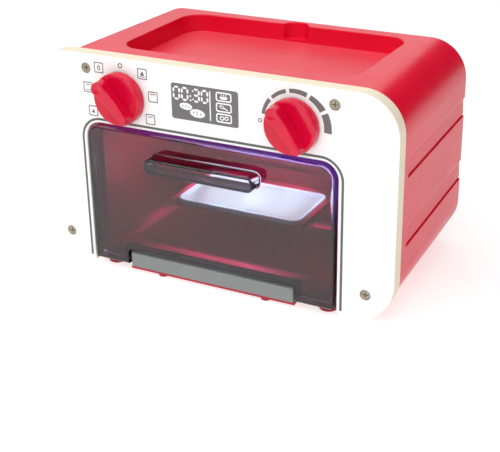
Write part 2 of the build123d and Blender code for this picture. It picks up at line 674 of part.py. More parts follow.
def make_shaft(cx, angle):
    a = math.radians(angle)

    def facing(depth):
        return Plane(origin=(cx, Y(depth), Z(KNOB_Z)), x_dir=(math.cos(a), 0, math.sin(a)), z_dir=(0, -1, 0))

    with BuildPart() as shaft:
        with BuildSketch(facing(27.5)):
            Circle(SHAFT_R)
        extrude(amount=27.5 + 12.4)
        with BuildSketch(facing(22.0)):
            Circle(7.6)
        extrude(amount=3.6)
        # flat for the knob
        with BuildSketch(facing(-0.5)):
            with Locations((4.65, 0)):
                Rectangle(5.0, 8.0)
        extrude(amount=13, mode=Mode.SUBTRACT)
    return shaft


def make_switch(cx):
    with BuildPart() as body:
        block(cx - 10, cx + 10, 15.5, 29.5, KNOB_Z - 10, KNOB_Z + 10)
        fillet(body.edges().filter_by(Axis.Y), 1.5)
        rod_y(cx, KNOB_Z, 4.5, 1.4, 16)
        rod_y(cx, KNOB_Z, SHAFT_R + 0.06, 0, 28.0, mode=Mode.SUBTRACT)
        rod_y(cx, KNOB_Z, 8.2, 17.8, 22.6, mode=Mode.SUBTRACT)
        for k in (-6, -2, 2, 6):
            block(cx + k - 0.6, cx + k + 0.6, 22, 27, KNOB_Z - 14, KNOB_Z - 9.5)
    return body


mode_knob = make_knob(-KNOB_X, MODE_ANGLE)
save(mode_knob, "mode_knob")
timer_knob = make_knob(KNOB_X, TIMER_ANGLE)
save(timer_knob, "timer_knob")
mode_shaft = make_shaft(-KNOB_X, MODE_ANGLE)
save(mode_shaft, "mode_shaft")
timer_shaft = make_shaft(KNOB_X, TIMER_ANGLE)
save(timer_shaft, "timer_shaft")
mode_switch_body = make_switch(-KNOB_X)
save(mode_switch_body, "mode_switch_body")
timer_switch_body = make_switch(KNOB_X)
save(timer_switch_body, "timer_switch_body")

with BuildPart() as switch_nuts:
    for sx in (-1, 1):
        with BuildSketch(front(4.0)):
            with Locations((sx * KNOB_X, Z(KNOB_Z))):
                RegularPolygon(7.0, 6)
                Circle(4.55, mode=Mode.SUBTRACT)
        extrude(amount=2.2)
save(switch_nuts, "switch_nuts")

# ---------------------------------------------------------------------------
# inner tray on its rack
# ---------------------------------------------------------------------------
with BuildPart() as cookie_tray:
    with BuildSketch(level(TRAY_Z - 2.6)):
        with Locations((0, Y((TRAY_Y[0] + TRAY_Y[1]) / 2))):
            RectangleRounded(2 * TRAY_HALF - 1.0, TRAY_Y[1] - TRAY_Y[0] - 1.0, 8.5)
    with BuildSketch(level(TRAY_Z + 2.3)):
        with Locations((0, Y((TRAY_Y[0] + TRAY_Y[1]) / 2))):
            RectangleRounded(2 * TRAY_HALF, TRAY_Y[1] - TRAY_Y[0], 9.0)
    loft(ruled=True)
    with BuildSketch(level(TRAY_Z + 2.3)):
        with Locations((0, Y((TRAY_Y[0] + TRAY_Y[1]) / 2))):
            RectangleRounded(2 * TRAY_HALF - 4.4, TRAY_Y[1] - TRAY_Y[0] - 4.4, 6.8)
    extrude(amount=-3.1, taper=8, mode=Mode.SUBTRACT)
    fillet(cookie_tray.faces().filter_by(lambda f: abs(f.center().Z - Z(TRAY_Z + 2.3)) < 0.01)[0].edges(), 0.7)
    # side runners held by the rack's channels
    for sx in (-1, 1):
        block(sx * 57, sx * 62.4, 58, 104, TRAY_Z - 2.6, TRAY_Z - 1.0)
save(cookie_tray, "cookie_tray")

RAIL_Z = TRAY_Z - 2.6
with BuildPart() as tray_rack:
    for sx in (-1, 1):
        block(sx * 56.0, sx * 65.2, 47.0, 138.0, RAIL_Z - 2.4, RAIL_Z - 0.35)
        block(sx * 62.9, sx * 65.2, 47.0, 138.0, RAIL_Z - 2.4, RAIL_Z + 4.0)
        block(sx * 60.9, sx * 65.2, 47.0, 138.0, RAIL_Z + 2.0, RAIL_Z + 4.0)
    block(-65.2, 65.2, 134.6, 139.9, RAIL_Z - 2.4, 60.0)
    block(-65.2, 65.2, 118.0, 139.0, RAIL_Z - 2.4, RAIL_Z - 0.35)
    for rx, rz in RACK_SCREWS:
        rod_y(rx, rz, 1.35, 135.6, 141.0, mode=Mode.SUBTRACT)
    front_ends = tray_rack.edges().filter_by(Axis.Z).filter_by(lambda e: abs(e.center().Y - Y(47.0)) < 0.01)
    fillet(front_ends, 0.8)
save(tray_rack, "tray_rack")

with BuildPart() as rack_screws:
    screw_y(RACK_SCREWS, 2.8, 1.8, 1.3, 6.0, CAV_BACK + LINER_T, away=1)
save(rack_screws, "rack_screws")

# ---------------------------------------------------------------------------
# lamp: lens in the chamber's ceiling, board with three LEDs above it
# ---------------------------------------------------------------------------
with BuildPart() as lamp_lens:
    block(-13.8, 13.8, 63.2, 86.8, CAV_TOP - 0.6, CAV_TOP + 2.5)
    fillet(lamp_lens.edges().filter_by(Axis.Z), 1.0)
    fillet(lamp_lens.faces().sort_by(Axis.Z)[0].edges(), 0.5)
    block(-16.6, 16.6, 60.4, 89.6, CAV_TOP + 2.0, CAV_TOP + 3.4)
    with BuildSketch(level(CAV_TOP + 3.4)):
        with Locations((0, Y(75))):
            Rectangle(24.5, 20.5)
    extrude(amount=-2.4, mode=Mode.SUBTRACT)
save(lamp_lens, "lamp_lens")

with BuildPart() as lamp_board:
    block(-24, 24, 64, 86, 134.0, 135.6)
    fillet(lamp_board.edges().filter_by(Axis.Z), 1.5)
    for bx, by in LAMP_SCREWS:
        rod_z(bx, by, 1.3, 133, 137, mode=Mode.SUBTRACT)
save(lamp_board, "lamp_board")

with BuildPart() as lamp_leds:
    for lx in (-8.0, 0.0, 8.0):
        rod_z(lx, 75, 2.9, 133.0, 134.0)
        rod_z(lx, 75, 2.5, 130.4, 133.2)
        with Locations((lx, Y(75), Z(130.4))):
            Sphere(2.5)
save(lamp_leds, "lamp_leds")

with BuildPart() as lamp_screws:
    screw_down(LAMP_SCREWS, 2.2, 1.5, 0.95, 6.0, 135.6)
save(lamp_screws, "lamp_screws")

# ---------------------------------------------------------------------------
# main board above the chamber
# ---------------------------------------------------------------------------
with BuildPart() as main_board:
    block(-44, 44, 60, 130, 148.0, 149.6)
    fillet(main_board.edges().filter_by(Axis.Z), 2.0)
    for bx, by in BOARD_SCREWS:
        rod_z(bx, by, 1.5, 147, 151, mode=Mode.SUBTRACT)
save(main_board, "main_board")

with BuildPart() as board_components:
    block(-12, 12, 84, 98, 149.6, 151.8)
    for k in range(7):
        block(-10.5 + 3.5 * k - 0.6, -10.5 + 3.5 * k + 0.6, 82.2, 99.8, 149.6, 150.4)
    rod_z(26, 108, 4.0, 149.6, 159.0)
    rod_z(26, 80, 3.2, 149.6, 156.0)
    for k in range(3):
        block(-30 - 0.1, -30 + 6, 74 + 12 * k, 74 + 12 * k + 8, 149.6, 155.6)
    block(-6, 6, 116, 122, 149.6, 155.0)
    for k in range(4):
        block(8 + 4 * k, 8 + 4 * k + 2, 68, 71.2, 149.6, 150.6)
save(board_components, "board_components")

with BuildPart() as board_screws:
    screw_down(BOARD_SCREWS, 2.5, 1.7, 1.15, 7.5, 149.6)
save(board_screws, "board_screws")

# ---------------------------------------------------------------------------
# loudspeaker behind the grille
# ---------------------------------------------------------------------------
with BuildPart() as speaker_frame:
    with BuildSketch(front(SHELL_BACK - WALL - 0.6)):
        with Locations((SPK_X, Z(SPK_Z))):
            Circle(20)
    extrude(amount=3.0)
    with BuildSketch(front(SHELL_BACK - WALL - 3.6)):
        with Locations((SPK_X, Z(SPK_Z))):
            Circle(18.0)
    extrude(amount=6.5, taper=32)
    with BuildSketch(front(SHELL_BACK - WALL - 0.6)):
        with Locations((SPK_X, Z(SPK_Z))):
            Circle(16.8)
    extrude(amount=8.7, taper=34, mode=Mode.SUBTRACT)
    rod_y(SPK_X, SPK_Z, 6.0, 165, 172, mode=Mode.SUBTRACT)
    for sx in (-1, 1):
        block(SPK_X + sx * 17, SPK_X + sx * 29.4, 174.6, 175.9, SPK_Z - 3.4, SPK_Z + 3.4)
        rod_y(SPK_X + sx * 26, SPK_Z, 1.3, 174, 177, mode=Mode.SUBTRACT)
save(speaker_frame, "speaker_frame")

with BuildPart() as speaker_cone:
    with BuildSketch(front(SHELL_BACK - WALL - 1.2)):
        with Locations((SPK_X, Z(SPK_Z))):
            Circle(16.2)
    extrude(amount=7.0, taper=37)
    with BuildSketch(front(SHELL_BACK - WALL - 1.1)):
        with Locations((SPK_X, Z(SPK_Z))):
            Circle(15.4)
    extrude(amount=6.4, taper=37, mode=Mode.SUBTRACT)
save(speaker_cone, "speaker_cone")

with BuildPart() as speaker_magnet:
    rod_y(SPK_X, SPK_Z, 11.5, 162.5, 169.85)
    fillet(speaker_magnet.faces().filter_by(Plane.XZ).edges(), 0.6)
save(speaker_magnet, "speaker_magnet")

with BuildPart() as speaker_screws:
    screw_y([(SPK_X - 26, SPK_Z), (SPK_X + 26, SPK_Z)], 2.2, 1.5, 1.05, 3.4, 174.6)
save(speaker_screws, "speaker_screws")

# ---------------------------------------------------------------------------
# battery compartment: tub, contacts, three cells, cover with two screws
# ---------------------------------------------------------------------------
BX0, BX1 = BATT_X - 29.0, BATT_X + 29.0
BZ0, BZ1 = BATT_Z - 24.0, BATT_Z + 24.0
with BuildPart() as battery_box:
    block(BX0 - 1.8, BX1 + 1.8, 159.0, 179.9, BZ0 - 1.8, BZ1 + 1.8)
    block(BX0, BX1, 161.0, 180.5, BZ0, BZ1, mode=Mode.SUBTRACT)
    for sx in (-1, 1):
        block(BATT_X + sx * 30, BATT_X + sx * 41.4, 164.0, 165.9, BATT_Z - 4, BATT_Z + 4)
        rod_y(BATT_X + sx * 38, BATT_Z, 1.3, 163, 167, mode=Mode.SUBTRACT)
    # cradle ribs between the cells
    for rz in (BATT_Z - 7.8, BATT_Z + 7.8):
        for rx in (-14, 14):
            block(BATT_X + rx - 1, BATT_X + rx + 1, 160.5, 164.0, rz - 0.8, rz + 0.8)
save(battery_box, "battery_box")

CELL_R = 7.2
CELL_Y = 169.0
with BuildPart() as batteries:
    for k, cz in enumerate((BATT_Z - 15.6, BATT_Z, BATT_Z + 15.6)):
        sx = 1 if k % 2 == 0 else -1
        rod_x(CELL_Y, cz, CELL_R, BATT_X - 24.6, BATT_X + 24.6)
        rod_x(CELL_Y, cz, 2.6, BATT_X + sx * 24.4, BATT_X + sx * 25.9)
save(batteries, "batteries")

with BuildPart() as battery_contacts:
    for k, cz in enumerate((BATT_Z - 15.6, BATT_Z, BATT_Z + 15.6)):
        sx = 1 if k % 2 == 0 else -1
        # flat plate at the button end, coil spring at the other
        block(BATT_X + sx * 28.3, BATT_X + sx * 28.9, 162.4, 175.6, cz - 5.6, cz + 5.6)
        block(BATT_X + sx * 26.1, BATT_X + sx * 28.4, 167.6, 170.4, cz - 1.6, cz + 1.6)
        block(-sx * 28.3 + BATT_X, -sx * 28.9 + BATT_X, 162.4, 175.6, cz - 5.6, cz + 5.6)
        for k2, (rr, xx) in enumerate(((4.6, 27.6), (3.8, 26.4), (3.2, 25.3))):
            with BuildSketch(Plane(origin=(BATT_X - sx * (xx + 0.4), Y(CELL_Y), Z(cz)), x_dir=(0, 1, 0), z_dir=(1, 0, 0))):
                Circle(rr)
                Circle(rr - 0.9, mode=Mode.SUBTRACT)
            extrude(amount=0.8)
        block(BATT_X - sx * 25.0, BATT_X - sx * 28.4, CELL_Y + 2.5, CELL_Y + 3.1, cz - 0.4, cz + 0.4)
        block(BATT_X - sx * 25.8, BATT_X - sx * 28.4, CELL_Y + 2.9, CELL_Y + 3.9, cz - 0.4, cz + 0.4)
save(battery_contacts, "battery_contacts")

with BuildPart() as battery_box_screws:
    screw_y([(BATT_X - 38, BATT_Z), (BATT_X + 38, BATT_Z)], 2.4, 1.6, 1.05, 9.0, 164.0)
save(battery_box_screws, "battery_box_screws")

with BuildPart() as battery_cover:
    with BuildSketch(front(SHELL_BACK)):
        with Locations((BATT_X, Z(BATT_Z))):
            RectangleRounded(BATT_W + 7.6, BATT_H + 7.6, 2.9)
            RectangleRounded(13.6, BATT_H + 27.6, 2.9)
    extrude(amount=1.95)
    with BuildSketch(front(SHELL_BACK - 1.9)):
        with Locations((BATT_X, Z(BATT_Z))):
            Rectangle(BATT_W - 1.0, BATT_H - 1.0)
            Rectangle(BATT_W - 4.0, BATT_H - 4.0, mode=Mode.SUBTRACT)
    extrude(amount=1.0)
    fillet(battery_cover.faces().sort_by(Axis.Y)[-1].outer_wire().edges(), 0.5)
    # finger ribs
    for k in range(5):
        block(BATT_X - 12, BATT_X + 12, SHELL_BACK - 0.6, SHELL_BACK + 1, BATT_Z - 14 + 4 * k, BATT_Z - 12.4 + 4 * k, mode=Mode.SUBTRACT)
    for hz in (BATT_Z + 33.5, BATT_Z - 33.5):
        rod_y(BATT_X, hz, 1.6, 180, 184, mode=Mode.SUBTRACT)
        rod_y(BATT_X, hz, 2.9, 182.0, 184, mode=Mode.SUBTRACT)
save(battery_cover, "battery_cover")

with BuildPart() as battery_cover_screws:
    screw_y([(BATT_X, BATT_Z + 33.5), (BATT_X, BATT_Z - 33.5)], 2.5, 0.9, 1.3, 9.0, 182.0, away=1)
save(battery_cover_screws, "battery_cover_screws")

# ---------------------------------------------------------------------------
# power switch at the back
# ---------------------------------------------------------------------------
SLIDE_X = SW_X - 2.0
with BuildPart() as power_slider:
    block(SLIDE_X - 2.8, SLIDE_X + 2.8, 177.0, 182.7, SW_Z - 2.2, SW_Z + 2.2)
    for k in (-1.8, 0, 1.8):
        block(SLIDE_X + k - 0.35, SLIDE_X + k + 0.35, 182.2, 183, SW_Z - 3, SW_Z + 3, mode=Mode.SUBTRACT)
    block(SLIDE_X - 6.5, SLIDE_X + 6.5, 177.6, 179.2, SW_Z - 3.4, SW_Z + 3.4)
    block(SLIDE_X - 1.6, SLIDE_X + 1.6, 172.2, 177.5, SW_Z - 1.6, SW_Z + 1.6)
save(power_slider, "power_slider")

with BuildPart() as power_switch_body:
    block(SW_X - 9.5, SW_X + 9.5, 168.0, 176.4, SW_Z - 4.5, SW_Z + 4.5)
    block(SW_X - 18.4, SW_X + 18.4, 175.2, 176.4, SW_Z - 3.4, SW_Z + 3.4)
    block(SW_X - 5.0, SW_X + 5.0, 170.5, 177, SW_Z - 2.2, SW_Z + 2.2, mode=Mode.SUBTRACT)
    for k in (-5, 0, 5):
        block(SW_X + k - 0.8, SW_X + k + 0.8, 164.0, 168.5, SW_Z - 0.4, SW_Z + 0.4)
    for sx in (-1, 1):
        rod_y(SW_X + sx * 15, SW_Z, 1.3, 174, 177, mode=Mode.SUBTRACT)
save(power_switch_body, "power_switch_body")

with BuildPart() as power_switch_screws:
    screw_y([(SW_X - 15, SW_Z), (SW_X + 15, SW_Z)], 2.2, 1.4, 1.05, 2.8, 175.2)
save(power_switch_screws, "power_switch_screws")

# ---------------------------------------------------------------------------
# leads between the electrical pieces
# ---------------------------------------------------------------------------


def pt(x, d, h):
    return (x, Y(d), Z(h))


LEADS = [
    [pt(-90.0, 157.6, 84.0), pt(-94.0, 150.0, 100.0), pt(-80.0, 147.0, 134.0), pt(-27.0, 128.0, 158.5), pt(-27.0, 106.0, 156.6)],
    [pt(-88.0, 157.6, 48.0), pt(-60.0, 150.0, 36.0), pt(-6.0, 152.0, 40.0), pt(7.0, 162.6, 52.0)],
    [pt(12.0, 162.6, 52.0), pt(14.0, 152.0, 70.0), pt(8.0, 148.0, 120.0), pt(2.0, 140.0, 156.0), pt(0.0, 121.5, 156.0)],
    [pt(88.0, 160.6, 96.0), pt(84.0, 152.0, 110.0), pt(60.0, 150.0, 136.0), pt(4.0, 134.0, 159.0), pt(4.0, 119.0, 156.0)],
    [pt(0.0, 80.0, 137.2), pt(-8.0, 90.0, 141.5), pt(-34.0, 100.0, 144.0), pt(-48.0, 96.0, 150.0), pt(-36.0, 92.0, 157.5), pt(-28.0, 90.0, 156.6)],
    [pt(-84.45, 26.0, 142.2), pt(-76.0, 32.0, 138.0), pt(-50.0, 56.0, 150.0), pt(-36.0, 72.0, 158.5), pt(-28.0, 78.0, 156.6)],
    [pt(84.45, 26.0, 142.2), pt(76.0, 32.0, 138.0), pt(40.0, 44.0, 146.0), pt(17.0, 56.0, 153.0), pt(13.0, 69.0, 152.6)],
]
with BuildPart() as lead_wires:
    for pts in LEADS:
        with BuildLine() as path:
            Spline(*pts)
        start = path.line
        with BuildSketch(Plane(origin=start @ 0, z_dir=start % 0)):
            Circle(0.8)
        sweep(path=start)
save(lead_wires, "lead_wires")
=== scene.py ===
import json
import math

import bmesh
import bpy
from mathutils import Matrix, Vector


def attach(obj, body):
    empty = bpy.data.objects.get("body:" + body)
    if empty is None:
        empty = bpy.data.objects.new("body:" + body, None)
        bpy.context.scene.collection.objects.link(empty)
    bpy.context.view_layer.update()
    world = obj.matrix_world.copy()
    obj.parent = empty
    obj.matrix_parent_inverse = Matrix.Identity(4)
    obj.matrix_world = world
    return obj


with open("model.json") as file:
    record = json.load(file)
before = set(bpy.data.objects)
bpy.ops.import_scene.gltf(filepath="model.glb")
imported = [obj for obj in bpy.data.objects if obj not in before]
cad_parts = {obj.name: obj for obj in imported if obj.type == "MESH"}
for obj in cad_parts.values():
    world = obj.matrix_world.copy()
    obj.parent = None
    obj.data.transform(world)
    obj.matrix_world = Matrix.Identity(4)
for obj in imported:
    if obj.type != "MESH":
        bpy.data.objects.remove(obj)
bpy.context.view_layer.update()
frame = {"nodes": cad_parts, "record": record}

NODES = frame["nodes"]

# ---------------------------------------------------------------------------
# Same frame as the CAD: metres, origin in the middle of the footprint.
# Depths count from the panel's front face, heights from the legs' lower ends.
# ---------------------------------------------------------------------------
MM = 0.001
PANEL_Y = -81.5
LEG_Z = 3.0


def P(x, depth, height):
    return Vector((x * MM, (PANEL_Y + depth) * MM, (LEG_Z + height) * MM))


# ---------------------------------------------------------------------------
# node helpers
# ---------------------------------------------------------------------------
class Nodes:
    """A material being built, with short ways to add nodes."""

    def __init__(self, name):
        self.mat = bpy.data.materials.new(name)
        self.mat.use_nodes = True
        self.t = self.mat.node_tree
        self.t.nodes.clear()
        self.out = self.t.nodes.new("ShaderNodeOutputMaterial")
        self.bsdf = self.t.nodes.new("ShaderNodeBsdfPrincipled")
        self.t.links.new(self.bsdf.outputs["BSDF"], self.out.inputs["Surface"])
        self.coord = self.t.nodes.new("ShaderNodeTexCoord")

    def link(self, a, b):
        self.t.links.new(a, b)

    def noise(self, scale, detail=3.0, rough=0.55, stretch=None, w=0.0):
        n = self.t.nodes.new("ShaderNodeTexNoise")
        n.noise_dimensions = "4D"
        n.inputs["W"].default_value = w
        n.inputs["Scale"].default_value = scale
        n.inputs["Detail"].default_value = detail
        n.inputs["Roughness"].default_value = rough
        src = self.coord.outputs["Object"]
        if stretch:
            m = self.t.nodes.new("ShaderNodeMapping")
            m.inputs["Scale"].default_value = stretch
            self.link(src, m.inputs["Vector"])
            src = m.outputs["Vector"]
        self.link(src, n.inputs["Vector"])
        return n.outputs["Fac"]

    def voronoi(self, scale, feature="F1"):
        n = self.t.nodes.new("ShaderNodeTexVoronoi")
        n.feature = feature
        n.inputs["Scale"].default_value = scale
        self.link(self.coord.outputs["Object"], n.inputs["Vector"])
        return n.outputs["Distance"]

    def remap(self, value, a, b, c, d):
        n = self.t.nodes.new("ShaderNodeMapRange")
        n.inputs["From Min"].default_value = a
        n.inputs["From Max"].default_value = b
        n.inputs["To Min"].default_value = c
        n.inputs["To Max"].default_value = d
        self.link(value, n.inputs["Value"])
        return n.outputs["Result"]

    def mix(self, fac, a, b):
        n = self.t.nodes.new("ShaderNodeMix")
        n.data_type = "RGBA"
        ins = [s for s in n.inputs if s.type == "RGBA"]
        facs = [s for s in n.inputs if s.name == "Factor" and s.type == "VALUE"]
        for sock, v in ((ins[0], a), (ins[1], b)):
            if isinstance(v, (tuple, list)):
                sock.default_value = (*v[:3], 1.0)
            else:
                self.link(v, sock)
        if isinstance(fac, (int, float)):
            facs[0].default_value = fac
        else:
            self.link(fac, facs[0])
        return [s for s in n.outputs if s.type == "RGBA"][0]

    def math(self, op, a, b=None, clamp=False):
        n = self.t.nodes.new("ShaderNodeMath")
        n.operation = op
        n.use_clamp = clamp
        for i, v in enumerate((a, b)):
            if v is None:
                continue
            if isinstance(v, (int, float)):
                n.inputs[i].default_value = v
            else:
                self.link(v, n.inputs[i])
        return n.outputs[0]

    def bump(self, height, strength, distance, chain=None):
        n = self.t.nodes.new("ShaderNodeBump")
        n.inputs["Strength"].default_value = strength
        n.inputs["Distance"].default_value = distance
        self.link(height, n.inputs["Height"])
        if chain is not None:
            self.link(chain, n.inputs["Normal"])
        return n.outputs["Normal"]

    def xyz(self, what="Object"):
        n = self.t.nodes.new("ShaderNodeSeparateXYZ")
        self.link(self.coord.outputs[what], n.inputs[0])
        return n.outputs

    def set(self, **kw):
        for k, v in kw.items():
            sock = self.bsdf.inputs[k.replace("_", " ")]
            if isinstance(v, bpy.types.NodeSocket):
                self.link(v, sock)
            elif isinstance(v, (tuple, list)) and sock.type == "RGBA":
                sock.default_value = (*v[:3], 1.0)
            else:
                sock.default_value = v
        return self


def moulded(name, color, rough=0.35, grain=900.0, depth=0.00004, vary=0.07, ior=1.5, coat=0.0, wear=0.0, sss=0.0, painted_sheen=0.0):
    """Moulded plastic: faint flow variation, fine spark-eroded grain, uneven gloss."""
    n = Nodes(name)
    big = n.noise(14.0, 2.0, 0.5)
    dark = tuple(c * (1 - vary) for c in color)
    light = tuple(min(1.0, c * (1 + vary * 0.6) + 0.002) for c in color)
    col = n.mix(n.remap(big, 0.35, 0.65, 0, 1), dark, light)
    if wear:
        scuff = n.noise(60.0, 6.0, 0.7, stretch=(1.0, 0.25, 1.0), w=3.0)
        col = n.mix(n.remap(scuff, 0.66, 0.8, 0, wear), col, tuple(min(1, c * 1.2 + 0.04) for c in color))
    fine = n.noise(grain, 3.0, 0.6, w=1.0)
    mid = n.noise(grain * 0.03, 2.0, 0.5, w=2.0)
    gloss = n.remap(mid, 0.3, 0.7, rough * 0.93, rough * 1.07)
    if painted_sheen:
        # painted sheen: the recess floor is tinted a lighter pink, more strongly towards the back wall, standing in for
        # the broad reflection of the light from above; its roughness is raised there as well
        pos = n.xyz("Object")
        flat = n.math("MULTIPLY", n.math("LESS_THAN", pos[2], 0.1736), n.math("GREATER_THAN", pos[2], 0.1715))
        flat = n.math("MULTIPLY", flat, n.math("GREATER_THAN", n.xyz("Normal")[2], 0.9))
        sheen_mask = n.math("MULTIPLY", flat, n.remap(pos[1], 0.0, 0.085, 0.35, 1.0))
        col = n.mix(n.math("MULTIPLY", sheen_mask, painted_sheen), col, (0.80, 0.105, 0.125))
        gloss = n.math("ADD", gloss, n.math("MULTIPLY", sheen_mask, 0.12))
    n.set(Base_Color=col, Roughness=gloss, Normal=n.bump(fine, 0.3, depth))
    n.set(IOR=ior)
    if coat:
        n.set(Coat_Weight=coat, Coat_Roughness=0.06)
    if sss:
        n.set(Subsurface_Weight=sss, Subsurface_Scale=0.003)
        n.bsdf.inputs["Subsurface Radius"].default_value = (1.0, 0.25, 0.2)
    return n.mat


def metal(name, color, rough=0.3, brushed=(1.0, 1.0, 12.0), grime=0.25):
    n = Nodes(name)
    lines = n.noise(700.0, 4.0, 0.6, stretch=brushed)
    spots = n.noise(240.0, 4.0, 0.6, w=5.0)
    col = n.mix(n.remap(spots, 0.45, 0.75, 0, grime), color, tuple(c * 0.55 for c in color))
    n.set(Base_Color=col, Metallic=1.0, Roughness=n.remap(lines, 0.3, 0.7, rough * 0.7, rough * 1.3))
    n.set(Normal=n.bump(lines, 0.2, 0.00002))
    return n.mat


MAT = {}
# shell_red carries a painted sheen on the floor of the top recess
MAT["shell_red"] = moulded("shell_red", (0.78, 0.001, 0.03), rough=0.32, grain=1600, depth=0.00001, vary=0.04, ior=1.45, painted_sheen=0.55)
MAT["liner_red"] = moulded("liner_red", (0.60, 0.005, 0.07), rough=0.34, grain=1100, depth=0.00002, vary=0.08)
# painted shade: base_red is a darker copy of the red plastic, standing in for the shade on the base lip under the door
# bar
MAT["base_red"] = moulded("base_red", (0.46, 0.003, 0.026), rough=0.36, grain=1100, depth=0.00002, vary=0.08, wear=0.3)
MAT["foot_red"] = moulded("foot_red", (0.40, 0.006, 0.026), rough=0.6, grain=1800, vary=0.12, wear=0.5)
MAT["bar_grey"] = moulded("bar_grey", (0.235, 0.25, 0.245), rough=0.34, grain=1500, depth=0.00001, vary=0.05)
MAT["knob_red"] = moulded("knob_red", (0.66, 0.001, 0.034), rough=0.11, grain=900, depth=0.000004, vary=0.04, ior=1.45)
MAT["shaft_nylon"] = moulded("shaft_nylon", (0.72, 0.69, 0.6), rough=0.45, grain=900, vary=0.08)
MAT["switch_black"] = moulded("switch_black", (0.022, 0.022, 0.024), rough=0.42, grain=1200, vary=0.25, wear=0.4)
MAT["component_black"] = moulded("component_black", (0.02, 0.02, 0.022), rough=0.5, grain=1600, vary=0.3)
MAT["lead_sleeve"] = moulded("lead_sleeve", (0.025, 0.025, 0.028), rough=0.5, grain=800, vary=0.3)
MAT["speaker_metal"] = moulded("speaker_metal", (0.03, 0.03, 0.032), rough=0.38, grain=600, vary=0.2)
MAT["speaker_paper"] = moulded("speaker_paper", (0.045, 0.043, 0.042), rough=0.85, grain=2600, depth=0.00012, vary=0.3)
MAT["cell_jacket"] = moulded("cell_jacket", (0.05, 0.07, 0.12), rough=0.28, grain=400, vary=0.15, coat=0.3)
MAT["screw_steel"] = metal("screw_steel", (0.36, 0.31, 0.24), 0.34, grime=0.6)
MAT["pin_steel"] = metal("pin_steel", (0.68, 0.67, 0.66), 0.22, brushed=(0.1, 1.0, 1.0))
MAT["magnet_iron"] = metal("magnet_iron", (0.45, 0.45, 0.46), 0.4, grime=0.4)
MAT["contact_nickel"] = metal("contact_nickel", (0.78, 0.75, 0.70), 0.2)


def board():
    n = Nodes("board_green")
    v = n.voronoi(160.0, "DISTANCE_TO_EDGE")
    track = n.remap(v, 0.02, 0.05, 1, 0)
    col = n.mix(track, (0.012, 0.13, 0.05), (0.02, 0.22, 0.09))
    pads = n.remap(n.voronoi(230.0), 0.08, 0.12, 1, 0)
    col = n.mix(pads, col, (0.75, 0.72, 0.62))
    n.set(Base_Color=col, Roughness=n.remap(n.noise(90.0), 0.3, 0.7, 0.24, 0.38), Normal=n.bump(v, 0.4, 0.00005))
    return n.mat


MAT["board_green"] = board()


def tray_plastic():
    """Milky plastic; its raised edge glows with a painted highlight standing in for the lamp's light."""
    n = Nodes("tray_white")
    cloud = n.noise(40.0, 3.0, 0.5)
    fine = n.noise(900.0, 3.0, 0.6, w=1.0)
    n.set(Base_Color=n.mix(n.remap(cloud, 0.3, 0.7, 0, 1), (0.85, 0.85, 0.87), (0.90, 0.90, 0.91)))
    n.set(Roughness=n.remap(fine, 0.3, 0.7, 0.26, 0.36), Normal=n.bump(fine, 0.25, 0.00002))
    n.set(Subsurface_Weight=0.25, Subsurface_Scale=0.003)
    n.bsdf.inputs["Subsurface Radius"].default_value = (1.0, 0.9, 1.0)
    # painted highlight: the raised edge above this height gets a cool emission glow
    painted_lip_glow = n.remap(n.xyz("Object")[2], 0.0545, 0.0555, 0.0, 1.3)
    n.set(Emission_Color=(0.7, 0.95, 1.0), Emission_Strength=painted_lip_glow)
    return n.mat


MAT["tray_white"] = tray_plastic()


def lamp(name, color, power, frost):
    n = Nodes(name)
    f = n.noise(1500.0, 3.0, 0.6)
    n.set(Base_Color=n.mix(f, color, tuple(min(1, c + 0.06) for c in color)), Roughness=n.remap(f, 0.3, 0.7, frost * 0.8, frost * 1.2))
    n.set(Emission_Color=color, Emission_Strength=power, Normal=n.bump(f, 0.3, 0.00003))
    return n.mat


MAT["led_clear"] = lamp("led_clear", (0.8, 0.85, 1.0), 20.0, 0.15)
MAT["lens_frost"] = lamp("lens_frost", (0.62, 0.72, 1.0), 1.5, 0.5)


